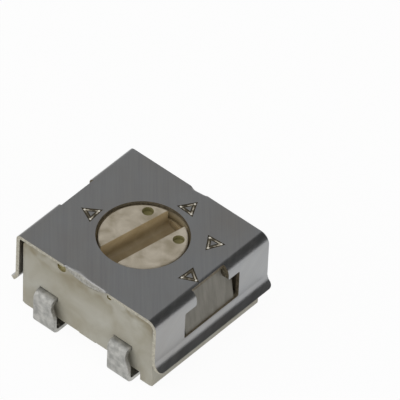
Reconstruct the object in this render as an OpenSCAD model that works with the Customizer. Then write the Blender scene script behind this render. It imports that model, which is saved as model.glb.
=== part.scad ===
// Square surface-mount trimmer potentiometer with J-hook terminals.
// A moulded body holds a ceramic element, a folded steel cover snaps over it,
// and a slotted rotor turns the wiper. All sizes are in millimetres.
// Z is up from the soles of the terminals, X runs across the cover's side walls,
// terminals 1 and 3 leave the -Y face and terminal 2, the wiper, leaves the +Y face.

/* [Cover] */
// Width across the outside of the two folded walls
cover_w = 4.32; // [4.24:0.02:4.6]
// Length of the top plate between its two cut ends
cover_l = 3.96; // [3.9:0.02:4.2]
// Thickness of the folded sheet
sheet_t = 0.10; // [0.08:0.01:0.12]
// Outer radius of the fold between plate and wall
cover_bend_r = 0.24; // [0.2:0.01:0.28]
// Depth of the straight wall below the top
wall_drop = 1.32; // [1.3:0.02:1.5]
// Length of the lip that flares out under the wall
lip_len = 0.19; // [0.12:0.01:0.22]
// Inner radius of the lip's bend
lip_bend_r = 0.05; // [0.03:0.01:0.08]
// Angle at which the lip leaves the wall
lip_angle = 45; // [35:5:50]
// Radius that rounds the lip's ends in plan
lip_corner_r = 0.14; // [0.06:0.02:0.16]
// Width of the T-shaped window at the snap lug
window_w = 1.90; // [1.7:0.05:2.1]
// Depth of the window's upper edge below the top
window_top = 0.40; // [0.36:0.02:0.46]
// Depth of the window's lower edge below the top
window_bottom = 1.20; // [1.1:0.02:1.24]
// Width of the window's neck, which cuts through the fold
window_neck_w = 1.12; // [0.9:0.02:1.3]
// How far the neck reaches in from the wall's outer face
window_neck_reach = 0.12; // [0.1:0.01:0.16]
// Width of the tab folded down at each end of the plate
tab_w = 1.36; // [1.2:0.02:1.5]
// Depth of the tab below the top at its middle
tab_drop = 0.30; // [0.26:0.01:0.36]
// Depth of the tab below the top at its two sides
tab_side_drop = 0.18; // [0.17:0.01:0.2]
// Outer radius of the tab's fold
tab_bend_r = 0.15; // [0.14:0.01:0.17]
// Room on each side of the tab in the body's notch
tab_room = 0.12; // [0.06:0.01:0.2]

/* [Body] */
// Height from the soles to the top of the cover
height = 2.34; // [2.3:0.02:2.5]
// Height of the body's underside above the soles
foot_drop = 0.10; // [0.08:0.01:0.12]
// Gap between the body and the inside of the cover's walls
body_fit = 0.01; // [0.01:0.005:0.02]
// How far the end faces sit inside the cover's ends at the top
end_inset = 0.05; // [0.04:0.01:0.07]
// How far each end face leans in from top to bottom
end_draft = 0.07; // [0.04:0.01:0.09]
// Chamfer along the two long bottom edges
bottom_chamfer = 0.12; // [0.06:0.02:0.16]
// Chamfer on the four upright corners
corner_chamfer = 0.07; // [0.04:0.01:0.1]
// Gap between the body's top edges and the inside of the cover's fold
edge_relief = 0.03; // [0.02:0.01:0.04]
// How far the snap lug stands out of the side at its ledge
lug_out = 0.10; // [0.08:0.01:0.14]
// Gap between the lug's ledge and the window's lower edge
lug_fit = 0.02; // [0.01:0.01:0.03]
// Gap between the lug's sides and the window's sides
lug_side_gap = 0.07; // [0.03:0.01:0.09]
// Room left round the seal ring in the well
ring_room = 0.06; // [0.04:0.01:0.09]
// Diameter of the round recess at the moulding gate
gate_d = 1.00; // [0.8:0.05:1.1]
// Depth of the gate recess
gate_depth = 0.07; // [0.05:0.01:0.1]
// Diameter of the gate mark in the recess
gate_dot_d = 0.14; // [0.1:0.01:0.2]
// Length of the trough that takes the feet of terminals 1 and 3
trough_w = 3.28; // [3.16:0.02:3.4]
// Distance of the trough's inner wall from the middle
trough_wall_y = 1.27; // [1.2:0.01:1.3]
// Width of the notch that takes the foot of terminal 2
notch_w = 1.68; // [1.56:0.02:1.8]
// Distance of the notch's inner wall from the middle
notch_wall_y = 1.16; // [1.1:0.01:1.25]
// Depth of the trough and the notch above the underside
recess_depth = 0.25; // [0.2:0.01:0.3]
// Width of the ramped rib in the middle of the trough
trough_rib_w = 0.50; // [0.3:0.05:0.6]

/* [Terminals] */
// Span across the outer faces of the terminals, along Y
lead_span = 4.24; // [4.24:0.01:4.3]
// Thickness of the tinned strip
lead_t = 0.15; // [0.12:0.01:0.16]
// Outer radius of the strip's bends
lead_bend_r = 0.20; // [0.18:0.01:0.22]
// Length of each foot, from the outer face inwards
foot_l = 0.78; // [0.7:0.01:0.8]
// Distance between the centres of terminals 1 and 3
end_pitch = 2.30; // [2.26:0.01:2.34]
// Width of the stems of terminals 1 and 3
end_stem_w = 0.50; // [0.44:0.02:0.56]
// Width of the feet of terminals 1 and 3
end_foot_w = 0.65; // [0.62:0.01:0.7]
// Depth below the top at which terminals 1 and 3 leave the body
end_lead_drop = 1.32; // [1.3:0.01:1.34]
// How far below that level those stems start to widen
flare_start = 0.27; // [0.22:0.01:0.32]
// Height over which those stems widen
flare_h = 0.25; // [0.2:0.01:0.3]
// Width of the stem of terminal 2
wiper_stem_w = 0.60; // [0.5:0.02:0.66]
// Width of the foot of terminal 2
wiper_foot_w = 1.20; // [1.1:0.02:1.3]
// Offset of the middle of terminal 2's foot from the body's middle
wiper_foot_x = 0.04; // [0:0.01:0.06]

/* [Element] */
// Width of the ceramic substrate along X
substrate_w = 3.40; // [3.34:0.02:3.5]
// Length of the ceramic substrate along Y
substrate_l = 3.40; // [3.3:0.02:3.44]
// Thickness of the ceramic substrate
substrate_t = 0.32; // [0.28:0.01:0.34]
// Thickness of the printed films
film_t = 0.02; // [0.015:0.005:0.025]
// Distance from the wall of the well to the middle of the resistor track
track_inset = 0.33; // [0.29:0.01:0.37]
// Width of the resistor track
track_w = 0.36; // [0.3:0.01:0.4]
// Width of the printed conductors
conductor_w = 0.22; // [0.18:0.01:0.24]
// Diameter of the printed centre contact
collector_d = 0.90; // [0.8:0.02:1.0]

/* [Rotor] */
// Diameter of the rotor's face in the cover's hole
rotor_d = 2.10; // [2.06:0.01:2.14]
// Gap all round between the rotor and the cover's hole
rotor_gap = 0.06; // [0.05:0.005:0.07]
// How far the rotor's face lies below the cover's top
rotor_recess = 0.04; // [0.02:0.01:0.06]
// Width of the screwdriver slot
slot_w = 0.64; // [0.5:0.02:0.7]
// Depth of the screwdriver slot
slot_depth = 0.50; // [0.42:0.01:0.52]
// Direction of the slot's marked end as it was left, from +X
slot_angle = 79.7; // [0:0.1:180]
// Diameter of the two blind dimples that mark the pointer end
dimple_d = 0.29; // [0.2:0.01:0.32]
// Depth of the dimples
dimple_depth = 0.14; // [0.1:0.01:0.18]
// Land left between a dimple and the rotor's rim
dimple_rim = 0.075; // [0.06:0.005:0.1]
// Angle of each dimple from the pointer end
dimple_angle = 44; // [40:1:50]
// Running gap between the rotor's flange and the well
flange_gap = 0.04; // [0.03:0.005:0.05]
// Thickness of the flange that carries the seal ring
flange_t = 0.14; // [0.12:0.01:0.16]
// Radial length of the rotor's stop lug
stop_reach = 0.22; // [0.18:0.01:0.24]
// Angle that the rotor can turn between its stops
travel = 240; // [200:5:250]
// Angle taken up by the rotor's stop lug
stop_lug_angle = 50; // [40:5:60]
// Spare angle left at each stop
stop_play = 0.5; // [0.3:0.1:1]
// Diameter of the seal ring's section
ring_d = 0.23; // [0.2:0.01:0.24]
// Gap round the seal ring
ring_gap = 0.01; // [0.01:0.002:0.014]

/* [Wiper] */
// Thickness of the spring sheet
wiper_t = 0.05; // [0.04:0.005:0.06]
// Height of the wiper from its contacts to the rotor's underside
wiper_h = 0.22; // [0.2:0.01:0.24]
// Gap between the contacts and the printed films
contact_gap = 0.01; // [0.01:0.002:0.014]
// Number of contact fingers on the track
track_fingers = 5; // [3:1:5]
// Number of contact fingers at the centre
centre_fingers = 3; // [2:1:3]
// Width of one finger
finger_w = 0.10; // [0.08:0.01:0.11]
// Distance from one finger to the next
finger_pitch = 0.15; // [0.14:0.01:0.16]
// Distance from the axis at which the track fingers leave the plate
track_root = 0.34; // [0.3:0.01:0.38]
// Distance from the axis at which the centre fingers leave the plate
centre_root = 0.54; // [0.5:0.01:0.58]
// Radius of the stakes that hold the wiper on the rotor
stake_r = 0.07; // [0.06:0.005:0.08]
// How far a stake's head stands out round it
stake_head = 0.05; // [0.04:0.005:0.05]
// Distance of the stakes from the slot's middle line
stake_x = 0.62; // [0.6:0.01:0.64]
// Distance of the stakes from the axis towards the pointer end
stake_y = 0.30; // [0.26:0.01:0.32]

/* [Hidden] */
$fn = 96;
cut = 1;                // overshoot of every cutting tool

// Levels
plate_z = height - sheet_t;
end_lead_z = height - end_lead_drop;
flare_top_z = end_lead_z - flare_start;
flare_bottom_z = flare_top_z - flare_h;
film_base_z = end_lead_z + film_t;
substrate_top_z = film_base_z + substrate_t;
film_top_z = substrate_top_z + film_t;
wiper_lead_z = film_top_z + lead_t;
contact_z = film_top_z + contact_gap;
rotor_base_z = contact_z + wiper_h;
flange_top_z = plate_z - ring_d - 2 * ring_gap;
flange_z = flange_top_z - flange_t;
rotor_top_z = height - rotor_recess;
slot_floor_z = rotor_top_z - slot_depth;
recess_z = foot_drop + recess_depth;

// Half widths and reaches
body_x = cover_w / 2 - sheet_t - body_fit;
body_y = cover_l / 2 - end_inset;
edge_chamfer = cover_bend_r - sheet_t + edge_relief;
lead_y = lead_span / 2;
foot_in_y = lead_y - foot_l;
well_r = rotor_d / 2 + ring_gap + ring_d + ring_room;
flange_r = well_r - flange_gap;
stop_r = flange_r - stop_reach;
track_r = well_r - track_inset;
dimple_r = rotor_d / 2 - dimple_rim - dimple_d / 2;
end_foot_x = end_pitch / 2 - end_foot_w / 2;
wiper_stem_x = wiper_foot_x - wiper_foot_w / 2;

// Stops: the lug stands opposite the pointer end and the body's block is at +Y
pointer_turn = slot_angle - 90;
block_angle = 360 - travel - stop_lug_angle - 2 * stop_play;
track_half_angle = travel / 2 + 5;
pad_angle = 15;

// Straight bar along Z between two radii and two angles
module ring_sector(r_in, r_out, from, to, h) {
    rotate([0, 0, from])
        rotate_extrude(angle = to - from)
            translate([r_in, 0]) square([r_out - r_in, h]);
}

// Quarter or eighth of a ring, drawn flat, for the bends of a sheet
module bend_2d(r_out, t, from, to) {
    far = 2 * r_out;
    intersection() {
        difference() {
            circle(r = r_out);
            circle(r = r_out - t);
        }
        polygon([[0, 0], [far * cos(from), far * sin(from)],
                 [far * cos((from + to) / 2), far * sin((from + to) / 2)],
                 [far * cos(to), far * sin(to)]]);
    }
}

// Extrudes a shape drawn as (X, Z) along Y, centred
module along_y(length) {
    rotate([90, 0, 0]) linear_extrude(height = length, center = true) children();
}

// Extrudes a shape drawn as (Y, Z) along X from a start
module along_x(from, length) {
    translate([from, 0, 0]) rotate([90, 0, 90]) linear_extrude(height = length) children();
}

// Section of one wall: plate edge, fold, wall and flared lip, with 0 at the top
module wall_section() {
    x_out = cover_w / 2;
    translate([0, -sheet_t]) square([x_out - cover_bend_r, sheet_t]);
    translate([x_out - cover_bend_r, -cover_bend_r]) bend_2d(cover_bend_r, sheet_t, 0, 90);
    translate([x_out - sheet_t, -wall_drop]) square([sheet_t, wall_drop - cover_bend_r]);
    translate([x_out + lip_bend_r, -wall_drop]) {
        bend_2d(lip_bend_r + sheet_t, sheet_t, 180, 180 + lip_angle);
        rotate(lip_angle) translate([-lip_bend_r - sheet_t, -lip_len]) square([sheet_t, lip_len]);
    }
}

// Outline that rounds the lip's ends in plan
module lip_plan() {
    reach = cover_w / 2 + lip_bend_r + lip_len;
    for (side = [-1, 1], end = [-1, 1])
        translate([side * (reach - lip_corner_r), end * (cover_l / 2 - lip_corner_r)])
            circle(r = lip_corner_r);
    square([2 * reach, cover_l - 2 * lip_corner_r], center = true);
    square([2 * (reach - lip_corner_r), cover_l], center = true);
}

// T-shaped window that a snap lug stands in
module window_cut() {
    translate([cover_w / 2 - cut / 2, -window_w / 2, height - window_bottom])
        cube([cut, window_w, window_bottom - window_top]);
    translate([cover_w / 2 - window_neck_reach, -window_neck_w / 2, height - window_top - sheet_t])
        cube([cut, window_neck_w, cut]);
}

// Tab folded down at the end of the plate, with its curved lower edge
module end_tab() {
    sag = tab_drop - tab_side_drop;
    arc_r = (pow(tab_w / 2, 2) + pow(sag, 2)) / (2 * sag);
    intersection() {
        along_x(-tab_w / 2, tab_w) translate([cover_l / 2 - tab_bend_r, height - tab_bend_r]) {
            bend_2d(tab_bend_r, sheet_t, 0, 90);
            translate([tab_bend_r - sheet_t, tab_bend_r - tab_drop])
                square([sheet_t, tab_drop - tab_bend_r]);
        }
        translate([0, cover_l / 2, height - tab_drop + arc_r])
            rotate([90, 0, 0]) cylinder(r = arc_r, h = 2 * cut, center = true);
    }
}

module cover() {
    color("#9a9a9c") {
        difference() {
            intersection() {
                translate([0, 0, height]) along_y(cover_l) {
                    wall_section();
                    mirror([1, 0]) wall_section();
                }
                linear_extrude(height = height + cut) lip_plan();
            }
            for (side = [0, 1]) mirror([side, 0, 0]) window_cut();
            for (end = [0, 1]) mirror([0, end, 0])
                translate([-tab_w / 2, cover_l / 2 - tab_bend_r, plate_z - cut / 2])
                    cube([tab_w, cut, cut]);
            translate([0, 0, plate_z - cut / 2])
                cylinder(d = rotor_d + 2 * rotor_gap, h = cut);
        }
        for (end = [0, 1]) mirror([0, end, 0]) end_tab();
    }
}

// Moulded block: drafted ends, chamfered long edges and upright corners
module body_block() {
    bottom_y = body_y - end_draft;
    intersection() {
        along_y(2 * body_y) polygon([
            [-body_x + bottom_chamfer, foot_drop], [body_x - bottom_chamfer, foot_drop],
            [body_x, foot_drop + bottom_chamfer], [body_x, plate_z - edge_chamfer],
            [body_x - edge_chamfer, plate_z], [-body_x + edge_chamfer, plate_z],
            [-body_x, plate_z - edge_chamfer], [-body_x, foot_drop + bottom_chamfer]]);
        along_x(-body_x, 2 * body_x) polygon([
            [-bottom_y, foot_drop], [bottom_y, foot_drop], [body_y, plate_z], [-body_y, plate_z]]);
        linear_extrude(height = height) polygon([
            for (q = [[1, 1], [-1, 1], [-1, -1], [1, -1]], k = [0, 1])
                let (first = (q[0] * q[1] > 0) == (k == 0))
                [q[0] * (body_x - (first ? 0 : corner_chamfer)),
                 q[1] * (body_y - (first ? corner_chamfer : 0))]]);
    }
}

// Snap lug: a ramp that stands proudest at its lower ledge
module snap_lug() {
    ledge_z = height - window_bottom + lug_fit;
    wide_top_z = height - window_top - lug_fit;
    neck_top_z = plate_z - edge_chamfer;
    root = body_x - edge_chamfer;
    intersection() {
        along_y(window_w) polygon([[root, ledge_z], [body_x + lug_out, ledge_z],
                                   [body_x, neck_top_z], [root, neck_top_z]]);
        union() {
            translate([0, -window_w / 2 + lug_side_gap, ledge_z])
                cube([cover_w, window_w - 2 * lug_side_gap, wide_top_z - ledge_z]);
            translate([0, -window_neck_w / 2 + lug_side_gap, ledge_z])
                cube([cover_w, window_neck_w - 2 * lug_side_gap, neck_top_z - ledge_z]);
        }
    }
}

// Trough for the feet of terminals 1 and 3, with a ramped rib left between them
module foot_trough() {
    length = body_y - trough_wall_y;
    difference() {
        translate([-trough_w / 2, -body_y - cut, foot_drop - cut])
            cube([trough_w, length + cut, recess_depth + cut]);
        mirror([0, 1, 0]) along_x(-trough_rib_w / 2, trough_rib_w) polygon([
            [trough_wall_y - cut, foot_drop + recess_depth / 4], [trough_wall_y, foot_drop + recess_depth / 4],
            [body_y, recess_z], [body_y, recess_z + cut], [trough_wall_y - cut, recess_z + cut]]);
    }
}

module body() {
    color("#a19d8d") difference() {
        union() {
            difference() {
                body_block();
                translate([0, 0, substrate_top_z]) cylinder(r = well_r, h = height);
            }
            translate([0, 0, substrate_top_z])
                ring_sector(stop_r + flange_gap, well_r + flange_gap, 90 - block_angle / 2,
                            90 + block_angle / 2, flange_z - flange_gap - substrate_top_z);
            for (side = [0, 1]) mirror([side, 0, 0]) snap_lug();
        }
        for (end = [0, 1]) mirror([0, end, 0])
            translate([-tab_w / 2 - tab_room, cover_l / 2 - tab_bend_r, height - tab_drop - tab_room / 3])
                cube([tab_w + 2 * tab_room, cut, cut]);
        foot_trough();
        translate([-notch_w / 2, notch_wall_y, foot_drop - cut])
            cube([notch_w, cut + cover_l / 2, recess_depth + cut]);
        translate([0, 0, foot_drop - cut]) cylinder(d = gate_d, h = gate_depth + cut);
        translate([0, 0, foot_drop - cut]) cylinder(d = gate_dot_d, h = 2 * gate_depth + cut);
        substrate();
        resistor_track();
        end_pad_1();
        end_pad_3();
        collector_pad();
        terminal_1();
        terminal_2();
        terminal_3();
        contact_rooms();
    }
}

// Joins the room of each terminal with the room of the film that it lies on
module contact_rooms() {
    half = lead_t / 2;
    edge_y = substrate_l / 2;
    for (left_x = [-end_foot_x - end_foot_w, end_foot_x])
        translate([left_x, -edge_y - film_t, end_lead_z - half])
            cube([end_stem_w, conductor_w + film_t, half + film_t]);
    translate([wiper_stem_x, edge_y - conductor_w, substrate_top_z])
        cube([wiper_stem_w, conductor_w, film_t + half]);
}

// J-hook strip drawn as (Y, Z): out of the body, down and back under to the foot
module hook_section(inner_y, top_z) {
    straight_y = lead_y - lead_bend_r;
    translate([inner_y, top_z - lead_t]) square([straight_y - inner_y, lead_t]);
    translate([straight_y, top_z - lead_bend_r]) bend_2d(lead_bend_r, lead_t, 0, 90);
    translate([lead_y - lead_t, lead_bend_r]) square([lead_t, top_z - 2 * lead_bend_r]);
    translate([straight_y, lead_bend_r]) bend_2d(lead_bend_r, lead_t, 270, 360);
    translate([foot_in_y, 0]) square([straight_y - foot_in_y, lead_t]);
}

// Terminal 1 or 3: its -X edge is straight and its +X edge flares to the foot
module end_terminal(left_x, inner_y) {
    color("#c9c8c3") intersection() {
        mirror([0, 1, 0]) along_x(left_x, end_foot_w) hook_section(inner_y, end_lead_z);
        along_y(3 * lead_y) polygon([
            [left_x, 0], [left_x + end_foot_w, 0], [left_x + end_foot_w, flare_bottom_z],
            [left_x + end_stem_w, flare_top_z], [left_x + end_stem_w, end_lead_z], [left_x, end_lead_z]]);
    }
}

module terminal_1() {
    end_terminal(-end_foot_x - end_foot_w, substrate_l / 2 - conductor_w);
}

module terminal_3() {
    end_terminal(end_foot_x, substrate_l / 2 - conductor_w);
}

// Terminal 2: a straight stem with a foot twice as wide
module terminal_2() {
    color("#c9c8c3") intersection() {
        along_x(wiper_stem_x, wiper_foot_w) hook_section(well_r + flange_gap, wiper_lead_z);
        union() {
            translate([wiper_stem_x, 0, 0]) cube([wiper_stem_w, lead_span, height]);
            translate([wiper_stem_x, 0, 0])
                cube([wiper_foot_w, lead_y - lead_t / 2, lead_bend_r]);
        }
    }
}

module substrate() {
    color("#ece9e1")
        translate([-substrate_w / 2, -substrate_l / 2, film_base_z])
            cube([substrate_w, substrate_l, substrate_t]);
}

// Horseshoe of cermet film, open at +Y where the centre conductor passes
module resistor_track() {
    color("#2f2b28") translate([0, 0, substrate_top_z])
        ring_sector(track_r - track_w / 2, track_r + track_w / 2,
                    270 - track_half_angle, 270 + track_half_angle, film_t);
}

// Conductor from the track's end, down the margin and under the substrate's edge
module end_pad() {
    edge_x = substrate_w / 2;
    edge_y = substrate_l / 2;
    run_y = (track_r + track_w / 2) * sin(90 - (180 - track_half_angle) + pad_angle / 3);
    land_x = end_foot_x;
    translate([0, 0, substrate_top_z]) {
        ring_sector(track_r - track_w / 2, track_r + track_w / 2,
                    270 - track_half_angle - pad_angle, 270 - track_half_angle, film_t);
        translate([-edge_x, run_y, 0])
            cube([edge_x - track_r * cos(track_half_angle - 90 + pad_angle), conductor_w, film_t]);
        translate([-edge_x, -edge_y, 0]) cube([conductor_w, edge_y + run_y + conductor_w, film_t]);
        translate([-edge_x, -edge_y, 0]) cube([edge_x - land_x, conductor_w, film_t]);
    }
    translate([-edge_x, -edge_y - film_t, film_base_z - film_t])
        cube([edge_x - land_x, film_t, substrate_t + 2 * film_t]);
    translate([-edge_x, -edge_y - film_t, film_base_z - film_t])
        cube([edge_x - land_x, conductor_w + film_t, film_t]);
}

module end_pad_1() {
    color("#b9b4a6") end_pad();
}

module end_pad_3() {
    color("#b9b4a6") mirror([1, 0, 0]) end_pad();
}

// Printed centre contact with its conductor out to terminal 2
module collector_pad() {
    edge_y = substrate_l / 2;
    color("#b9b4a6") translate([0, 0, substrate_top_z]) {
        cylinder(d = collector_d, h = film_t);
        translate([-conductor_w, 0, 0]) cube([2 * conductor_w, edge_y, film_t]);
        translate([wiper_stem_x, edge_y - conductor_w, 0])
            cube([wiper_stem_w, conductor_w, film_t]);
    }
}

// Rotor drawn with its pointer end at +Y
module rotor() {
    neck_r = rotor_d / 2;
    slot_end_r = neck_r - flange_gap;
    color("#c6bda2") rotate([0, 0, pointer_turn]) {
        difference() {
            union() {
                translate([0, 0, flange_z]) cylinder(r = neck_r, h = rotor_top_z - flange_z);
                translate([0, 0, flange_z]) cylinder(r = flange_r, h = flange_t);
                translate([0, 0, rotor_base_z]) cylinder(r = stop_r, h = flange_z - rotor_base_z);
                translate([0, 0, rotor_base_z])
                    ring_sector(0, flange_r, 270 - stop_lug_angle / 2, 270 + stop_lug_angle / 2,
                                flange_z - rotor_base_z);
            }
            translate([-slot_w / 2, -neck_r - cut, flange_top_z + ring_gap])
                cube([slot_w, 2 * (neck_r + cut), slot_depth]);
            intersection() {
                translate([-slot_w / 2, -neck_r, slot_floor_z]) cube([slot_w, rotor_d, slot_depth]);
                cylinder(r = slot_end_r, h = height);
            }
            for (side = [-1, 1]) rotate([0, 0, side * dimple_angle])
                translate([0, dimple_r, rotor_top_z - dimple_depth])
                    cylinder(d = dimple_d, h = cut);
        }
        wiper_stakes();
    }
}

// The rotor's two stakes with their riveted heads under the wiper
module wiper_stakes() {
    for (side = [-1, 1]) translate([side * stake_x, stake_y, 0]) {
        translate([0, 0, rotor_base_z - 2 * wiper_t]) cylinder(r = stake_r, h = 2 * wiper_t);
        translate([0, 0, rotor_base_z - 2 * wiper_t]) cylinder(r = stake_r + stake_head, h = wiper_t);
    }
}

// One finger drawn as (Y, Z): from its root down to a contact that turns up again
module finger(root_y, tip_y) {
    top_z = rotor_base_z;
    way = sign(tip_y - root_y);
    toe = way * finger_w / 2;
    along_x(-finger_w / 2, finger_w) polygon([
        [root_y, top_z], [root_y, top_z - wiper_t], [tip_y - toe, contact_z],
        [tip_y + toe, contact_z], [tip_y + 2 * toe, contact_z + wiper_t],
        [tip_y + toe, contact_z + 2 * wiper_t], [tip_y, contact_z + wiper_t]]);
}

// Sprung contact, drawn with the rotor's pointer end at +Y
module wiper() {
    plate_r = stop_r - flange_gap;
    window_x = (centre_fingers - 1) * finger_pitch / 2 + finger_pitch;
    color("#c8a24a") rotate([0, 0, pointer_turn]) {
        difference() {
            translate([0, 0, rotor_base_z - wiper_t]) intersection() {
                cylinder(r = plate_r, h = wiper_t);
                translate([-plate_r, -track_root, 0]) cube([2 * plate_r, 2 * plate_r, wiper_t]);
            }
            translate([-window_x, -track_root / 2, rotor_base_z - cut / 2])
                cube([2 * window_x, track_root / 2 + centre_root, cut]);
            for (side = [-1, 1]) translate([side * stake_x, stake_y, rotor_base_z - cut / 2])
                cylinder(r = stake_r, h = cut);
        }
        for (k = [0 : track_fingers - 1])
            translate([(k - (track_fingers - 1) / 2) * finger_pitch, 0, 0]) finger(-track_root, -track_r);
        for (k = [0 : centre_fingers - 1])
            translate([(k - (centre_fingers - 1) / 2) * finger_pitch, 0, 0])
                finger(centre_root, 0);
    }
}

// Round-section ring between the rotor's flange and the underside of the cover
module seal_ring() {
    inner_r = rotor_d / 2 + ring_gap;
    color("#2b2b2d") translate([0, 0, flange_top_z + ring_gap + ring_d / 2])
        rotate_extrude() translate([inner_r + ring_d / 2, 0]) circle(d = ring_d);
}

body();
cover();
rotor();
seal_ring();
wiper();
substrate();
resistor_track();
end_pad_1();
end_pad_3();
collector_pad();
terminal_1();
terminal_2();
terminal_3();
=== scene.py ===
# %% [markdown]
# # A surface-mount trimmer potentiometer
# This lesson dresses a finished construction model of a 4 mm square trimmer. The real part has a
# moulded body, a folded steel cover that snaps over it, a slotted rotor under a round hole and
# three tinned strips that hook round under the body. The construction model already holds the main
# sizes, so the work here is in the edges, bends and finishes that a camera sees.

# %% Load the construction model
import math

import bmesh
import bpy
from mathutils import Matrix, Vector


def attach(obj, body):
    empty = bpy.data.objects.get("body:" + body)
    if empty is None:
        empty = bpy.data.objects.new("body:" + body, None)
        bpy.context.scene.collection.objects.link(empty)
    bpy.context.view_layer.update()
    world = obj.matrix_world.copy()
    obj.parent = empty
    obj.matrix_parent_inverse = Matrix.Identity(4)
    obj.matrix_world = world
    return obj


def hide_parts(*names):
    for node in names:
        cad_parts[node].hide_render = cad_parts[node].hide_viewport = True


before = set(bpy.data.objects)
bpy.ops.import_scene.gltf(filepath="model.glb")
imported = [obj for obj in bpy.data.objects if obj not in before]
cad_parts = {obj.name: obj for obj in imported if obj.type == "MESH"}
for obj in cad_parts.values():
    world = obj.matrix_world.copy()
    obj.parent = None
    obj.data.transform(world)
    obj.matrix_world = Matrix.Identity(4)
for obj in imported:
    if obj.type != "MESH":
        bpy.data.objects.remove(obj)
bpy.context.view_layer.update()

# %% [markdown]
# ## Working in millimetres
# The whole part is smaller than a fingernail. Blender's bevel and boolean tools merge points that
# are closer than a few thousandths of a unit, so each piece is modelled with one unit as one
# millimetre. It is scaled to metres only when it is done, with the scale applied, so its object
# ends up unturned and unscaled at the origin.

# %% Sizes of the real part in millimetres
TOP = 2.34                      # height of the cover's face above the soles
SHEET = 0.10                    # thickness of the cover's sheet
COVER_X, COVER_Y = 2.16, 1.98   # half the cover's width over its walls, and half its length
PLATE = TOP - SHEET             # underside of the cover's plate
UNDERSIDE = 0.10                # height of the body's underside
BODY_X, BODY_Y = 2.05, 1.93     # half the body's width and length
POINTER = -10.3                 # the rotor's turn as it was left, in degrees

STRIP = 0.12                    # thickness of a terminal's strip
STEM_1, STEM_3 = -1.475, 0.825  # left sides of the stems of terminals 1 and 3
STEM_2 = -0.56                  # left side of the stem of terminal 2
END_STEM, WIPER_STEM = 0.55, 0.60   # widths of those stems
END_LEAD, WIPER_LEAD = 1.02, 1.53   # height of the strip's upper face where it leaves the body

scene = bpy.context.scene
print("one unit is 1 mm while modelling, 0.001 m when a piece is done")

# %% Small helpers for selecting and finishing
def clear_selection():
    """Leave edit mode and select nothing, so that the next operator acts on what it is given."""
    if bpy.context.object and bpy.context.object.mode != "OBJECT":
        bpy.ops.object.mode_set(mode="OBJECT")
    bpy.ops.object.select_all(action="DESELECT")


def take(obj):
    """Make one object the selected and active one."""
    clear_selection()
    obj.select_set(True)
    bpy.context.view_layer.objects.active = obj


def settle():
    """Write the selected object's place, turn and scale into its points."""
    bpy.ops.object.transform_apply(location=True, rotation=True, scale=True)


def edit(on=True):
    """Enter edit mode, or leave it."""
    bpy.ops.object.mode_set(mode="EDIT" if on else "OBJECT")


def pick(kind, test):
    """In edit mode, select the VERT, EDGE or FACE items whose middle and direction pass a test."""
    bpy.ops.mesh.select_mode(type=kind)
    bpy.ops.mesh.select_all(action="DESELECT")
    mesh = bmesh.from_edit_mesh(bpy.context.object.data)
    mesh.normal_update()
    for item in {"VERT": mesh.verts, "EDGE": mesh.edges, "FACE": mesh.faces}[kind]:
        if kind == "VERT":
            middle, way = item.co, item.normal
        elif kind == "EDGE":
            middle = (item.verts[0].co + item.verts[1].co) / 2
            way = (item.verts[1].co - item.verts[0].co).normalized()
        else:
            middle, way = item.calc_center_median(), item.normal
        if test(middle, way):
            item.select_set(True)
    mesh.select_flush_mode()
    bmesh.update_edit_mesh(bpy.context.object.data)


def round_edges(test, offset, segments=1):
    """In edit mode, bevel the edges whose middle and direction pass a test."""
    pick("EDGE", test)
    bpy.ops.mesh.bevel(offset=offset, segments=segments, affect="EDGES")


def extrude(x, y, z):
    """In edit mode, extrude what is selected along a vector."""
    bpy.ops.mesh.extrude_region_move(TRANSFORM_OT_translate={"value": (x, y, z)})


def bisect(point, normal):
    """In edit mode, cut what is selected along a plane."""
    bpy.ops.mesh.bisect(plane_co=point, plane_no=normal)


def block(name, low, high):
    """A box between two corners, left as the active object in object mode."""
    clear_selection()
    middle = [(a + b) / 2 for a, b in zip(low, high)]
    bpy.ops.mesh.primitive_cube_add(size=1, location=middle)
    obj = bpy.context.object
    obj.name = name
    obj.scale = [b - a for a, b in zip(low, high)]
    settle()
    return obj


def round_bar(name, radius, low_z, high_z, x=0.0, y=0.0, vertices=96):
    """An upright cylinder between two heights."""
    clear_selection()
    bpy.ops.mesh.primitive_cylinder_add(vertices=vertices, radius=radius, depth=high_z - low_z,
                                        location=(x, y, (low_z + high_z) / 2))
    obj = bpy.context.object
    obj.name = name
    settle()
    return obj


def cut_out(name, points, thickness):
    """A flat n-sided face through the given points, thickened along +X."""
    clear_selection()
    bpy.ops.mesh.primitive_circle_add(vertices=len(points), radius=1, fill_type="NGON")
    obj = bpy.context.object
    obj.name = name
    for vertex, point in zip(obj.data.vertices, points):
        vertex.co = point
    edit()
    bpy.ops.mesh.select_all(action="SELECT")
    extrude(thickness, 0, 0)
    bpy.ops.mesh.select_all(action="SELECT")
    bpy.ops.mesh.normals_make_consistent(inside=False)
    edit(False)
    return obj


def carve(piece, tool, how="DIFFERENCE", finish=None):
    """Cut a tool out of a piece, or join it on, and drop it; new faces may get a finish."""
    if finish is not None:
        tool.data.materials.append(finish)
    take(piece)
    cut = piece.modifiers.new("cut", "BOOLEAN")
    cut.operation, cut.object, cut.solver = how, tool, "EXACT"
    cut.material_mode = "TRANSFER" if finish is not None else "INDEX"
    bpy.ops.object.modifier_apply(modifier=cut.name)
    bpy.data.objects.remove(tool)


def half_turn(tool):
    """Turn a tool to the part's other side."""
    take(tool)
    tool.rotation_euler = (0, 0, math.pi)
    settle()


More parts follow.
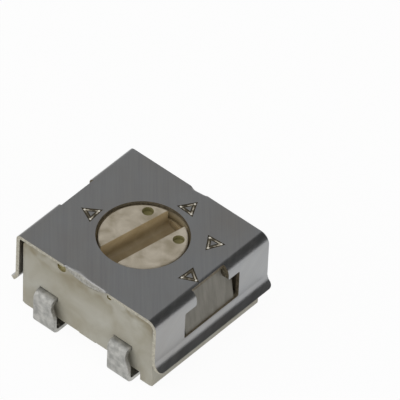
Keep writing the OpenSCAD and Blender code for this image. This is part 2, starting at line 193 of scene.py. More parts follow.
def soften(piece, width, segments=2, angle=40, finish_index=-1):
    """Round every edge sharper than an angle; the rounding may have a finish of its own."""
    take(piece)
    edge = piece.modifiers.new("edge", "BEVEL")
    edge.width, edge.segments, edge.limit_method = width, segments, "ANGLE"
    edge.angle_limit = math.radians(angle)
    edge.use_clamp_overlap = True
    edge.loop_slide = True
    edge.material = finish_index
    bpy.ops.object.modifier_apply(modifier=edge.name)


def outward(piece):
    """Merge doubled points and turn every face outwards."""
    take(piece)
    edit()
    bpy.ops.mesh.select_all(action="SELECT")
    bpy.ops.mesh.remove_doubles(threshold=0.0005)
    bpy.ops.mesh.normals_make_consistent(inside=False)
    edit(False)


def done(piece, rides_on, finish, stands_for, smooth_below=32):
    """Scale a piece to metres and hand it to the frame; finish is None if its faces have theirs."""
    take(piece)
    bpy.ops.object.shade_smooth_by_angle(angle=math.radians(smooth_below))
    even = piece.modifiers.new("even", "WEIGHTED_NORMAL")
    even.keep_sharp = True
    bpy.ops.object.modifier_apply(modifier=even.name)
    piece.scale = (0.001,) * 3
    settle()
    if finish is not None:
        piece.data.materials.clear()
        piece.data.materials.append(finish)
    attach(piece, rides_on)
    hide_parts(stands_for)
    size = [round(1000 * d, 2) for d in piece.dimensions]
    print(f"{piece.name}: {size} mm, {len(piece.data.polygons)} faces")

# %% [markdown]
# ## Colours and shader nodes
# Colours are written as the sRGB hex values that a screen shows, and one function turns them into
# the linear light that a shader wants. Most finishes here are two tones mixed by a noise, with
# something on top, so a few small functions add those nodes and each finish reads as a recipe.

# %% Colour and node helpers
def srgb(code):
    """Linear colour of an sRGB hex code such as #8a8a8c."""
    levels = [int(code[i:i + 2], 16) / 255 for i in (1, 3, 5)]
    return [v / 12.92 if v <= 0.04045 else ((v + 0.055) / 1.055) ** 2.4 for v in levels] + [1.0]


def add(tree, kind, links=None, **settings):
    """Add a shader node; settings are its properties, links its inputs by name or number."""
    node = tree.nodes.new(kind)
    for name, value in settings.items():
        setattr(node, name, value)
    for name, value in (links or {}).items():
        if isinstance(value, bpy.types.NodeSocket):
            tree.links.new(value, node.inputs[name])
        else:
            node.inputs[name].default_value = value
    return node


def new_finish(name, rough=0.5, metal=0.0):
    """A material with a Principled shader, and its node tree."""
    finish = bpy.data.materials.new(name)
    finish.use_nodes = True
    tree = finish.node_tree
    shader = tree.nodes["Principled BSDF"]
    shader.inputs["Roughness"].default_value = rough
    shader.inputs["Metallic"].default_value = metal
    return finish, tree, shader


def object_place(tree):
    """The Object coordinates of a shaded point, in metres."""
    return add(tree, "ShaderNodeTexCoord").outputs["Object"]


def noise(tree, place, size, detail=3.0, **inputs):
    """A noise with features of a size in mm."""
    return add(tree, "ShaderNodeTexNoise", {"Vector": place, "Scale": 1000.0 / size,
                                            "Detail": detail, **inputs}).outputs["Fac"]


def tones(tree, value, dark, light, low=0.35, high=0.65):
    """A blend from one sRGB code to another while a value rises from low to high."""
    ramp = add(tree, "ShaderNodeValToRGB", {"Fac": value})
    for stop, position, code in zip(ramp.color_ramp.elements, (low, high), (dark, light)):
        stop.position, stop.color = position, srgb(code)
    return ramp.outputs["Color"]


def spread(tree, value, low, high, result_low, result_high):
    """A value's range from low to high, spread over another range."""
    return add(tree, "ShaderNodeMapRange", {"Value": value, "From Min": low, "From Max": high,
                                            "To Min": result_low,
                                            "To Max": result_high}).outputs["Result"]


def blend(tree, factor, first, second, how="MIX"):
    """Two colours mixed."""
    return add(tree, "ShaderNodeMix", {"Factor": factor, 6: first, 7: second},
               data_type="RGBA", blend_type=how).outputs[2]


def relief(tree, shader, height, strength, depth):
    """Let a pattern tilt the surface's normal; depth is in metres."""
    bump = add(tree, "ShaderNodeBump", {"Height": height, "Strength": strength,
                                        "Distance": depth})
    tree.links.new(bump.outputs["Normal"], shader.inputs["Normal"])


def mottled(name, size, dark, light, low=0.35, high=0.65, detail=3.0, rough=0.5, metal=0.0,
            **inputs):
    """A finish with two tones in patches of a size in mm."""
    finish, tree, shader = new_finish(name, rough, metal)
    place = object_place(tree)
    cloud = noise(tree, place, size, detail, **inputs)
    tree.links.new(tones(tree, cloud, dark, light, low, high), shader.inputs["Base Color"])
    print("finish:", name)
    return finish, tree, shader, place


print("linear value of a mid grey:", round(srgb("#808080")[0], 3))

# %% [markdown]
# ## Brushed stainless steel
# The cover is thin stainless strip, brushed in the mill. It gives a grey mirror that is smeared by
# long fine scratches along one direction, with a faint warm haze from handling. A metal has no
# body colour of its own, so the base colour is the tint of its reflection. The strip was brushed
# while it was flat, so the scratches are drawn on the unfolded sheet: below the plate, the drop
# from the top is laid out sideways. They run at 132 degrees to the X axis. Real ones are too fine
# to show here, so they are drawn about 0.05 mm apart and stretched 40 times.

# %% Brushed steel for the cover
steel, tree, shader = new_finish("brushed_stainless_steel", metal=1.0)
place = object_place(tree)
axes = add(tree, "ShaderNodeSeparateXYZ", {"Vector": place})
drop = add(tree, "ShaderNodeMath", {0: TOP / 1000, 1: axes.outputs["Z"]}, operation="SUBTRACT")
side = add(tree, "ShaderNodeMath", {0: axes.outputs["X"]}, operation="SIGN")
flat_x = add(tree, "ShaderNodeMath", {0: side.outputs[0], 1: drop.outputs[0],
                                      2: axes.outputs["X"]}, operation="MULTIPLY_ADD")
sheet = add(tree, "ShaderNodeCombineXYZ", {"X": flat_x.outputs[0], "Y": axes.outputs["Y"]})
turned = add(tree, "ShaderNodeMapping", {"Vector": sheet.outputs["Vector"]},
             vector_type="TEXTURE")
turned.inputs["Rotation"].default_value = (0, 0, math.radians(132))
turned.inputs["Scale"].default_value = (40, 1, 1)
scratch = noise(tree, turned.outputs["Vector"], 0.05, 4.0, Roughness=0.65)
broad = noise(tree, turned.outputs["Vector"], 0.22, 2.0)
streaks = add(tree, "ShaderNodeMix", {"Factor": 0.3, 2: scratch, 3: broad},
              data_type="FLOAT").outputs[0]
tint = tones(tree, streaks, "#99999b", "#a3a3a3", 0.34, 0.66)
haze = tones(tree, noise(tree, place, 1.4), "#fdffff", "#f8f5f0", 0.35, 0.72)
tree.links.new(blend(tree, 1.0, tint, haze, "MULTIPLY"), shader.inputs["Base Color"])
tree.links.new(spread(tree, streaks, 0.3, 0.7, 0.28, 0.34), shader.inputs["Roughness"])
relief(tree, shader, scratch, 0.08, 0.000004)
print("finish:", steel.name)

# %% [markdown]
# Where the press has sheared the sheet, the cut face is torn and dull, and its two rounded edges
# are rubbed a little smoother. The cut faces of the punched hole and windows are painted dark
# brown, as painted shade for the gaps round the rotor and the lugs. The tabs are scuffed pale by
# the tool that drew them down.

# %% Sheared edges and scuffed tabs
def torn(name, dark, light, rough, metal=0.2):
    """A rough surface in two tones, with a grain of 0.06 mm."""
    return mottled(name, 0.06, dark, light, detail=4.0, rough=rough, metal=metal)[0]


burnished = torn("burnished_steel_edge", "#9d9889", "#c2bdae", 0.50)
fractured = torn("fractured_steel_edge", "#a9a494", "#c9c5b6", 0.60)
# painted shade: the dark brown of the gaps round the rotor and the lugs
cut_edge_shade = torn("steel_cut_edge_painted_shade", "#5a5242", "#7a705c", 0.60)
pressed = torn("scuffed_steel_tab", "#8d8a82", "#b3b1a9", 0.45)

# %% [markdown]
# ## Moulded housing plastic
# The body is a glass-filled high-temperature nylon, moulded. It is matt, a warm beige grey, with
# pale flow marks. Near the top, under the cover's edge, brownish stains show in patches. The
# surface has the fine grain of a spark-eroded mould, about 0.05 mm.

# %% Glass-filled nylon for the body
NYLON_IOR = 1.53
STAIN_LOW, STAIN_HIGH = 0.0015, 0.0021      # heights between which the stains come in, in metres

nylon, tree, shader, place = mottled("glass_filled_nylon", 0.9, "#a49e8c", "#b9b7ab", 0.33, 0.70,
                                     detail=4.0, rough=0.55, Distortion=0.6)
height = add(tree, "ShaderNodeSeparateXYZ", {"Vector": place}).outputs["Z"]
near_top = spread(tree, height, STAIN_LOW, STAIN_HIGH, 0.0, 1.0)
patches = spread(tree, noise(tree, place, 0.55, 2.0), 0.42, 0.58, 0.0, 0.8)
stain = add(tree, "ShaderNodeMath", {0: near_top, 1: patches}, operation="MULTIPLY").outputs[0]
plain = shader.inputs["Base Color"].links[0].from_socket
tree.links.new(blend(tree, stain, plain, srgb("#857a5c")), shader.inputs["Base Color"])
relief(tree, shader, noise(tree, place, 0.05), 0.3, 0.000006)
shader.inputs["IOR"].default_value = NYLON_IOR

# %% [markdown]
# The lugs are darker, as painted shade: they sit recessed in the windows and face away from the
# main light, and fine grey streaks run down the wedge. Two more finishes are the same plastic
# painted in the deep shade that falls behind the windows, and an olive stain darkened with painted
# shade in the notches under the tabs.

# %% Lug nylon in painted shade, nylon in painted deep shade, and olive nylon in the notches
# painted shade: the lug's darker grey, streaked down the wedge
lug_shade_and_streaks, tree, shader = new_finish("nylon_lug_painted_shade_and_streaks")
streak_stretch = add(tree, "ShaderNodeMapping", {"Vector": object_place(tree)}, vector_type="TEXTURE")
streak_stretch.inputs["Scale"].default_value = (1, 1, 8)
streak_noise = noise(tree, streak_stretch.outputs["Vector"], 0.12)
tree.links.new(tones(tree, streak_noise, "#6f6b61", "#817e74", 0.35, 0.70), shader.inputs["Base Color"])
shader.inputs["IOR"].default_value = NYLON_IOR
shaded = torn("nylon_in_deep_shade", "#4c4536", "#5d5544", 0.8, metal=0.0)
# an olive stain, darkened as painted shade for the notches under the tabs
olive_stain_and_shade = torn("nylon_olive_stain_and_painted_shade", "#8a8055", "#a0966c", 0.7, metal=0.0)
print("finish:", lug_shade_and_streaks.name)

# %% [markdown]
# ## Rotor plastic
# The rotor is a similar nylon in a creamier colour, with a satin moulded face and soft clouds in
# it. In the slot and the dimples the same resin looks yellower and darker, because little light
# gets in. Both get a copy of the finish with two deeper tones, and the slot's darkens further from
# its rim down to its floor.

# %% Cream nylon for the rotor, its slot and its dimples
SHADE_LOW, SHADE_HIGH = 0.00183, 0.00216    # heights between which the slot's shade fades, in m

cream, tree, shader, place = mottled("cream_moulded_nylon", 0.38, "#a0957f", "#c9bfad", 0.33,
                                     0.68, detail=4.0, rough=0.45, Distortion=0.4)
relief(tree, shader, noise(tree, place, 0.04), 0.25, 0.000005)
shader.inputs["IOR"].default_value = NYLON_IOR


def deeper(name, dark, light):
    """The cream finish with two other tones."""
    finish = cream.copy()
    finish.name = name
    ramp = next(node for node in finish.node_tree.nodes if node.type == "VALTORGB")
    for stop, code in zip(ramp.color_ramp.elements, (dark, light)):
        stop.color = srgb(code)
    print("finish:", name)
    return finish


in_slot = deeper("cream_nylon_in_the_slot", "#c0aa82", "#d0bc95")
tree = in_slot.node_tree
shader = tree.nodes["Principled BSDF"]
height = add(tree, "ShaderNodeSeparateXYZ", {"Vector": object_place(tree)}).outputs["Z"]
shade = spread(tree, height, SHADE_LOW, SHADE_HIGH, 0.50, 1.0)
plain = shader.inputs["Base Color"].links[0].from_socket
tree.links.new(blend(tree, 1.0, plain, shade, "MULTIPLY"), shader.inputs["Base Color"])
olive_pit = deeper("cream_nylon_dimple", "#7c764a", "#948c62")

# %% [markdown]
# ## Tin plate
# The terminals are copper alloy strip with a matt tin plate. Tin is a pale, slightly warm metal,
# here with a dull, finely pitted skin.

# %% Matt tin for the terminals
tin, tree, shader, place = mottled("matt_tin_plate", 0.16, "#9a9a96", "#bcbbb6", metal=1.0)
pits = noise(tree, place, 0.10, 5.0, Roughness=0.7)
tree.links.new(spread(tree, pits, 0.35, 0.7, 0.40, 0.62), shader.inputs["Roughness"])
relief(tree, shader, pits, 0.35, 0.00001)

# %% [markdown]
# ## Body
# The body starts as a box. Its end faces lean in towards the bottom so that it leaves the mould,
# its long edges are chamfered, and pockets are cut for the rotor's well, the element, the feet and
# the gate. Wedge lugs that hold the cover are joined on last.

# %% Body block with draft and chamfers
SOLE_Y = 1.86                   # half the body's length at its underside

body = block("moulded_body", (-BODY_X, -BODY_Y, UNDERSIDE), (BODY_X, BODY_Y, PLATE))
edit()
pick("FACE", lambda m, n: n.z < -0.9)
bpy.ops.transform.resize(value=(1, SOLE_Y / BODY_Y, 1), center_override=(0, 0, 0))
round_edges(lambda m, n: abs(n.y) > 0.9 and m.z < 0.2, 0.12, 2)         # long edges below
round_edges(lambda m, n: abs(n.y) > 0.9 and m.z > 2.2, 0.19)            # long edges at the folds
round_edges(lambda m, n: abs(n.x) > 0.9 and m.z > 2.2, 0.045, 3)        # top edges at the ends
round_edges(lambda m, n: abs(n.z) > 0.9 and abs(m.x) > BODY_X - 0.01, 0.06)   # upright corners
edit(False)
print("body block:", len(body.data.polygons), "faces")

# %% Pockets in the body
AWAY = 3                        # tools that leave the part end this far out
WELL_R, WELL_FLOOR = 1.35, 1.36
BED_HALF, BED_LOW, BED_HIGH = 1.72, 1.02, 1.385     # room for the ceramic plate
FEET_CEILING = 0.35             # height of the trough and the notch that the feet stand in
GATE_R, GATE_DEPTH = 0.50, 0.07
ARC_R = 1.10                    # the arc that clears a tab
STRIP_PLAY = 0.012              # room round a strip where it enters the body

body.data.materials.append(nylon)
carve(body, round_bar("well", WELL_R, WELL_FLOOR, AWAY, vertices=160))
carve(body, block("element_bed", (-BED_HALF, -BED_HALF, BED_LOW), (BED_HALF, BED_HALF, BED_HIGH)))
carve(body, block("trough", (-1.64, -AWAY, -1), (1.64, -1.27, FEET_CEILING)))
carve(body, block("notch", (-0.84, 1.16, -1), (0.84, AWAY, FEET_CEILING)))
carve(body, round_bar("gate", GATE_R, -1, UNDERSIDE + GATE_DEPTH))
carve(body, round_bar("gate_mark", 0.07, -1, UNDERSIDE + 2 * GATE_DEPTH, vertices=32))
for side, lowest in ((-1, 2.07), (1, 2.13)):
    for x, z, radius, reach in ((-0.80, 2.14, 0.13, 0.05), (0.67, 2.17, 0.07, 0.04),
                                (-0.02, lowest + ARC_R, ARC_R, 0.13)):
        bar = round_bar("tab_notch", radius, -reach, reach, vertices=int(64 * radius ** 0.5) + 24)
        bar.rotation_euler = (math.pi / 2, 0, 0)
        bar.location = (x, side * BODY_Y, z)
        settle()
        # the notches take the olive stain with painted shade
        carve(body, bar, finish=olive_stain_and_shade)
for left, width, lead, near, far in ((STEM_1, END_STEM, END_LEAD, -AWAY, -1.4),
                                     (STEM_3, END_STEM, END_LEAD, -AWAY, -1.4),
                                     (STEM_2, WIPER_STEM, WIPER_LEAD, 1.3, AWAY)):
    carve(body, block("strip_slot", (left - STRIP_PLAY, near, lead - STRIP - STRIP_PLAY),
                      (left + width + STRIP_PLAY, far, lead + STRIP_PLAY)))
print("body with pockets:", len(body.data.polygons), "faces")

# %% Rib between the feet
RAMP = 0.17                     # how far the rib's outer end slopes up

rib = block("rib", (-0.25, -1.87, 0.16), (0.25, -1.25, 0.36))
edit()
pick("VERT", lambda m, n: m.z < 0.2 and m.y < -1.8)
bpy.ops.transform.translate(value=(0, 0, RAMP))
edit(False)
carve(body, rib, "UNION")

# %% [markdown]
# The lugs are wedges that the walls of the cover ride over until its windows drop behind them.
# Each one stands in a shallow pocket, so that a dark gap shows between it and the window's edges.

# %% Snap lugs in their pockets
LUG_ROOT, POCKET_FLOOR = 1.80, 1.92         # X where the lug starts and where its pocket ends
LEDGE_X, LEDGE_Z, SLOPE = 2.11, 1.12, 0.17  # the lug's ledge, and how far it leans back per mm
LUG = ((-0.84, LEDGE_Z), (0.84, LEDGE_Z), (0.84, 1.66), (0.53, 2.04), (0.51, 2.20),
       (-0.51, 2.20), (-0.53, 2.04), (-0.84, 1.80))
POCKET = ((-1.02, LEDGE_Z), (1.02, LEDGE_Z), (1.02, 1.96), (0.56, 1.96), (0.56, 2.3),
          (-0.56, 2.3), (-0.56, 1.96), (-1.02, 1.96))

for side in (-1, 1):
    pocket = cut_out("pocket", [(POCKET_FLOOR, y, z) for y, z in POCKET], 1)
    lug = cut_out("lug", [(LUG_ROOT, y, z) for y, z in LUG], LEDGE_X - LUG_ROOT)
    for point in lug.data.vertices:
        if point.co.x > 2:
            point.co.x -= SLOPE * (point.co.z - LEDGE_Z)
    # the pocket takes painted deep shade, the lug painted shade with its streaks
    for tool, how, finish in ((pocket, "DIFFERENCE", shaded), (lug, "UNION", lug_shade_and_streaks)):
        if side < 0:
            half_turn(tool)
        carve(body, tool, how, finish)
outward(body)
soften(body, 0.018, segments=2, angle=35)
done(body, "housing", None, "body")

# %% [markdown]
# ## Cover
# A press folds the cover from flat strip, and the model follows the same steps: a flat sheet,
# edges drawn down into walls and out into lips, bends rounded, and only then the thickness. The
# hole and the windows are punched through the finished sheet.

# %% Flat sheet with walls and flared lips
WALL_DROP, CORNER_DROP = 1.32, 0.0207   # wall down to the lip's bend, and on to its sharp corner
WALL_CORNER = TOP - WALL_DROP - CORNER_DROP
LIP = 0.185                             # how far the lip runs out, and down
FOLDS = ((-1, 0.14), (1, 0.26))         # size of the fold on each side
LIP_BEND, LIP_CORNER = 0.11, 0.13       # size of the lip's bend and of its rounded ends

clear_selection()
bpy.ops.mesh.primitive_plane_add(size=1, location=(0, 0, TOP))
cover = bpy.context.object
cover.name = "folded_cover"
cover.scale = (2 * COVER_X, 2 * COVER_Y, 1)
settle()
edit()
for side in (-1, 1):
    pick("EDGE", lambda m, n: m.x * side > COVER_X - 0.01 and abs(n.y) > 0.9)
    extrude(0, 0, WALL_CORNER - TOP)
    extrude(side * LIP, 0, -LIP)
pick("VERT", lambda m, n: abs(m.x) > COVER_X + 0.1)
bpy.ops.mesh.bevel(offset=LIP_CORNER, segments=6, affect="VERTICES")
for side, fold in FOLDS:
    round_edges(lambda m, n: (abs(n.y) > 0.9 and abs(m.z - TOP) < 0.01
                              and m.x * side > COVER_X - 0.01), fold, 12)
round_edges(lambda m, n: abs(n.y) > 0.9 and abs(m.z - WALL_CORNER) < 0.01, LIP_BEND, 8)
print("sheet with folds:", len(cover.data.polygons), "faces")

# %% [markdown]
# At each end of the plate a short stretch of the edge is pressed down into a notch in the body,
# which keeps the cover from sliding. The press draws the metal, so the fold fades out to both
# sides with no slit. Bending operators need a window, so this stretch is cut into a fine grid and
# each of its points is wound round the fold, by an amount that fades from the middle of the tab to
# its sides.

# %% Drawn tabs at the ends of the plate
TAB_HALF, FLAT_Y = 0.70, 1.78           # the stretch that is drawn, and where the plate is flat
TABS = {-1: (-0.02, 0.66, 0.19), 1: (0.0, 0.26, 0.07)}  # middle, half width and depth, per end
FOLD_R, WIDER_BY, WIDEST_X, WIDER_HALF = 0.07, 0.07, -0.22, 0.20    # the fold's radius along X
FULL_TURN = 0.09                        # depth from which the edge points straight down


def on_plate(m, n):
    """True for faces of the flat plate."""
    return n.z > 0.9 and m.z > TOP - 0.01


for y in (-FLAT_Y, FLAT_Y):
    pick("FACE", on_plate)
    bisect((0, y, TOP), (0, 1, 0))
for x in (-TAB_HALF, TAB_HALF):
    pick("FACE", lambda m, n: on_plate(m, n) and abs(m.y) > FLAT_Y)
    bisect((x, 0, TOP), (1, 0, 0))
pick("FACE", lambda m, n: on_plate(m, n) and abs(m.y) > FLAT_Y and abs(m.x) < 0.5)
bpy.ops.mesh.subdivide(number_cuts=27)
edit(False)


def tab_shape(x, end):
    """Depth of the tab's lower edge and radius of its fold, at x along one end of the plate."""
    middle, half, deepest = TABS[end]
    across = (x - middle) / half
    depth = deepest * max(0.0, 1 - across * across) ** 0.8
    radius = FOLD_R + WIDER_BY * math.exp(-((x - WIDEST_X) / WIDER_HALF) ** 2)
    return depth, radius


for point in cover.data.vertices:
    x, y, z = point.co
    if abs(z - TOP) < 1e-4 and abs(y) > FLAT_Y + 1e-4 and abs(x) < TAB_HALF - 1e-4:
        end = 1 if y > 0 else -1
        depth, radius = tab_shape(x, end)
        turn = math.pi / 2 * min(1.0, depth / FULL_TURN) ** 0.7
        lead = COVER_Y - FLAT_Y - radius * math.sin(turn)
        rest = max(0.0, depth - radius * (1 - math.cos(turn)))
        along = (abs(y) - FLAT_Y) / (COVER_Y - FLAT_Y) * (lead + radius * turn + rest)
        if along < lead:
            out, down = along, 0.0
        elif along < lead + radius * turn:
            bent = (along - lead) / radius
            out, down = lead + radius * math.sin(bent), radius * (1 - math.cos(bent))
        else:
            past = along - lead - radius * turn
            out = lead + radius * math.sin(turn) + past * math.cos(turn)
            down = radius * (1 - math.cos(turn)) + past * math.sin(turn)
        point.co.y, point.co.z = end * (FLAT_Y + out), TOP - down
lowest = min(v.co.z for v in cover.data.vertices if abs(v.co.x) < 1)
print("tabs pressed down to z =", round(lowest, 2))

# %% Give the sheet its thickness
outward(cover)
if sum(f.normal.z * f.area for f in cover.data.polygons) < 0:
    edit()
    bpy.ops.mesh.select_all(action="SELECT")
    bpy.ops.mesh.flip_normals()
    edit(False)
wall = cover.modifiers.new("wall", "SOLIDIFY")
wall.thickness, wall.offset, wall.use_even_offset = SHEET, -1.0, True
for finish in (steel, burnished, fractured):
    cover.data.materials.append(finish)
EDGE_FINISH = cover.data.materials.find(burnished.name)
wall.material_offset_rim = cover.data.materials.find(fractured.name)
bpy.ops.object.modifier_apply(modifier=wall.name)
cover.data.materials.append(pressed)
for face in cover.data.polygons:
    x, y, z = face.center
    if face.material_index == 0 and abs(x) < TAB_HALF and abs(y) > FLAT_Y and z < TOP - 0.03:
        face.material_index = cover.data.materials.find(pressed.name)
print("sheet, mm thick:", SHEET)

# %% Punch the hole and the T-shaped windows
HOLE_R = 1.11
WINDOW_HALF, WINDOW_LOW, WINDOW_HIGH = 0.95, 1.14, 1.94     # the wide part, in the wall
NECK_HALF, NECK_STEP = 0.56, 0.3        # the neck is raised in two steps, through the fold
NECK_SHIFT = {-1: 0.14, 1: 0.08}        # how far its inner end is drawn back, per side

# the cut faces of the hole and the windows take the painted shade
carve(cover, round_bar("hole", HOLE_R, 2, AWAY, vertices=192), finish=cut_edge_shade)
for side in (-1, 1):
    window = block("window", (1.9, -WINDOW_HALF, WINDOW_LOW), (2.5, WINDOW_HALF, WINDOW_HIGH))
    edit()
    for y in (-NECK_HALF, NECK_HALF):
        bpy.ops.mesh.select_all(action="SELECT")
        bisect((0, y, 0), (0, 1, 0))
    pick("FACE", lambda m, n: n.z > 0.9 and abs(m.y) < 0.5)
    extrude(0, 0, NECK_STEP)
    extrude(0, 0, NECK_STEP)
    pick("VERT", lambda m, n: m.z > 2.2 and m.x < 2)
    bpy.ops.transform.translate(value=(NECK_SHIFT[side], 0, 0))
    round_edges(lambda m, n: abs(n.x) > 0.9 and m.z < 2.0, 0.04, 4)
    edit(False)
    if side < 0:
        half_turn(window)
    carve(cover, window, finish=cut_edge_shade)
outward(cover)
soften(cover, 0.014, segments=2, angle=50, finish_index=EDGE_FINISH)

# %% [markdown]
# ## Scale marks
# Four outline triangles on the plate point away from the rotor and mark its travel. They are laser
# marks: the beam leaves a shallow burnt groove with a crest of bright remelted metal along its
# middle, brightest at the corners, where it dwells. A triangle is a prism with three sides, so one
# helper makes a closed stroke of any width as the gap between two prisms.

# %% Laser finishes
burnt = mottled("burnt_laser_groove", 0.05, "#352f20", "#544c38", 0.35, 0.70, rough=0.7)[0]
remelted = mottled("remelted_metal_crest", 0.11, "#564e3d", "#c4bcab", 0.45, 0.58, rough=0.6)[0]
bright_bead, tree, shader = new_finish("bright_metal_bead")
shader.inputs["Base Color"].default_value = srgb("#ece7da")

# %% Four outline triangles
MARK_R = 0.196                  # distance of a mark's corners from its middle
DARK, BRIGHT = 0.10, 0.028      # half widths of a stroke and of its crest, at the corners
BEAD_R = 0.026
GROOVE_DEPTH, CREST_DEPTH, CREST_ROOT = 0.012, 0.002, 0.03      # below the plate's face
MARKS = ((-1.354, -0.286, 185), (0.196, 1.388, 87), (1.358, 0.908, 34), (1.670, -0.255, -3))


def prism(radius, low, high, x, y, turn):
    """A three-sided upright bar with one corner pointing along the turn."""
    bar = round_bar("prism", radius, low, high, vertices=3)
    bar.rotation_euler = (0, 0, math.radians(turn - 90))
    bar.location = (x, y, 0)
    settle()
    return bar


for x, y, turn in MARKS:
    for width, low, high, how, finish in (
            (DARK, TOP - GROOVE_DEPTH, TOP + 0.1, "DIFFERENCE", burnt),
            (BRIGHT, TOP - CREST_ROOT, TOP - CREST_DEPTH, "UNION", remelted)):
        stroke = prism(MARK_R + width, low, high, x, y, turn)
        carve(stroke, prism(MARK_R - width, TOP - 1, TOP + 1, x, y, turn))
        carve(cover, stroke, how, finish)
    for corner in range(3):
        angle = math.radians(turn + 120 * corner)
        bead = round_bar("bead", BEAD_R, TOP - CREST_ROOT, TOP, x + MARK_R * math.cos(angle),
                         y + MARK_R * math.sin(angle), 16)
        carve(cover, bead, "UNION", bright_bead)
done(cover, "housing", None, "cover")

# %% [markdown]
# ## Rotor
# The rotor is round about its axis, so it is built upwards from one disc by extruding and scaling
# its top face. A stretch of the disc's rim is pulled out as the stop. The slot runs out through
# the rim above the flange, and two blind dimples mark the pointer end.

# %% Rotor disc, flange and neck
DISC_R, FLANGE_R, NECK_R = 1.09, 1.31, 1.05
DISC_LOW, DISC_HIGH = 1.61, 1.85
STOP_HALF_ANGLE = 25            # degrees to each side of -Y
PROFILE = ((FLANGE_R, 0.0), (FLANGE_R, 0.14), (NECK_R, 0.0), (NECK_R, 0.27),
           (NECK_R - 0.015, 0.025), (NECK_R - 0.04, 0.015))     # radius, and rise to get there

rotor = round_bar("slotted_rotor", DISC_R, DISC_LOW, DISC_HIGH, vertices=180)
edit()
stop_half = DISC_R * math.sin(math.radians(STOP_HALF_ANGLE))
pick("FACE", lambda m, n: abs(n.z) < 0.1 and m.y < 0 and abs(m.x) < stop_half)
bpy.ops.mesh.extrude_region_shrink_fatten(
    TRANSFORM_OT_shrink_fatten={"value": FLANGE_R - DISC_R})
pick("FACE", lambda m, n: n.z > 0.9 and m.xy.length < 0.5)
reached = DISC_R
for radius, rise in PROFILE:
    extrude(0, 0, rise)
    bpy.ops.transform.resize(value=(radius / reached, radius / reached, 1),
                             center_override=(0, 0, 0))
    reached = radius
edit(False)
outward(rotor)

# %% Slot and dimples
SLOT_HALF, SLOT_FLOOR = 0.32, 1.80
FLANGE_TOP = 1.99
TRENCH_HALF = 1.03              # the deep part of the slot ends inside the neck
DIMPLE_R, DIMPLE_FLOOR, DIMPLE_AT = 0.14, 2.17, 0.83
DIMPLE_ANGLE = 44               # degrees from the pointer to each dimple

rotor.data.materials.append(cream)
carve(rotor, block("slot", (-SLOT_HALF, -2, 2.0), (SLOT_HALF, 2, AWAY)), finish=in_slot)
trench = block("slot_floor", (-SLOT_HALF, -TRENCH_HALF, SLOT_FLOOR),
               (SLOT_HALF, TRENCH_HALF, 2.4))
edit()
round_edges(lambda m, n: abs(n.y) > 0.9 and m.z < 1.9, 0.12, 5)
edit(False)
carve(rotor, trench, finish=in_slot)
for face in rotor.data.polygons:
    if face.normal.z > 0.9 and abs(face.center.z - FLANGE_TOP) < 0.02:
        face.material_index = rotor.data.materials.find(in_slot.name)
for side in (-1, 1):
    angle = math.radians(90 + side * DIMPLE_ANGLE)
    dimple = round_bar("dimple", DIMPLE_R, DIMPLE_FLOOR, AWAY, DIMPLE_AT * math.cos(angle),
                       DIMPLE_AT * math.sin(angle), 48)
    carve(rotor, dimple, finish=olive_pit)
soften(rotor, 0.028, segments=3, angle=45)
rotor.rotation_euler = (0, 0, math.radians(POINTER))
done(rotor, "adjuster", None, "rotor")

# %% [markdown]
# ## Terminals
# Each terminal is one strip: it leaves the body flat, turns down, turns back under and ends in the
# foot. The strip is drawn the way it is bent, from its end face, with an extrusion for each
# straight and a spin for each bend.

# %% Bending one strip
BEND_R = 0.20                   # outer radius of a bend
SPAN, FOOT_IN = 2.12, 1.34      # Y of the strip's outer face and of the foot's end
FLARE_TOP, FLARE_DROP = 0.75, 0.25      # where the stem starts to widen, and over what drop


def hook_strip(name, left, width, lead_top, inner_y, flare, toe):
    """A J-hook strip that leaves towards -Y; flare widens its stem and toe its foot, to +X."""
    clear_selection()
    bpy.ops.mesh.primitive_plane_add(
        size=1, location=(left + width / 2, -inner_y, lead_top - STRIP / 2),
        rotation=(math.pi / 2, 0, 0))
    strip = bpy.context.object
    strip.name = name
    strip.scale = (width, STRIP, 1)
    settle()
    edit()
    bpy.ops.mesh.select_all(action="SELECT")
    straight = SPAN - BEND_R

    def bend(height):
        """Spin the strip's end a quarter turn round a bar along X at a height."""
        bpy.ops.mesh.spin(steps=8, angle=math.pi / 2, center=(0, -straight, height),
                          axis=(-1, 0, 0))

    extrude(0, -(straight - inner_y), 0)
    bend(lead_top - BEND_R)
    down = lead_top - 2 * BEND_R
    if flare:
        to_flare = lead_top - BEND_R - FLARE_TOP
        extrude(0, 0, -to_flare)
        extrude(0, 0, -FLARE_DROP)
        low = lead_top - BEND_R - to_flare - FLARE_DROP
        pick("VERT", lambda m, n: abs(m.z - low) < 1e-3 and m.x > left + width - 0.01)
        bpy.ops.transform.translate(value=(flare, 0, 0))
        pick("FACE", lambda m, n: abs(m.z - low) < 1e-3 and abs(n.z) > 0.9)
        down -= to_flare + FLARE_DROP
    extrude(0, 0, -down)
    bend(BEND_R)
    extrude(0, straight - FOOT_IN, 0)
    if toe:
        pick("FACE", lambda m, n: n.x > 0.9 and m.z < 0.1 and -straight < m.y)
        extrude(toe, 0, 0)
    edit(False)
    outward(strip)
    soften(strip, 0.018, segments=3, angle=50)
    return strip


for name, left in (("terminal_1", STEM_1), ("terminal_3", STEM_3)):
    strip = hook_strip("strip_" + name, left, END_STEM, END_LEAD, 1.48, 0.10, 0)
    done(strip, "housing", tin, name, smooth_below=24)
strip = hook_strip("strip_terminal_2", STEM_2, WIPER_STEM, WIPER_LEAD, 1.39, 0, 0.60)
strip.scale = (1, -1, 1)
take(strip)
settle()
outward(strip)
done(strip, "housing", tin, "terminal_2", smooth_below=24)

# %% [markdown]
# ## Inner pieces
# The element, the wiper and the seal ring keep the construction model's shapes, because only their
# finish shows, through the gap round the rotor.

# %% Finishes of the inner pieces
def inner(name, light, dark, size, rough, metal=0.0):
    """A finish in two tones that blend over the noise's whole range."""
    return mottled(name, size, dark, light, 0.0, 1.0, rough=rough, metal=metal)[0]


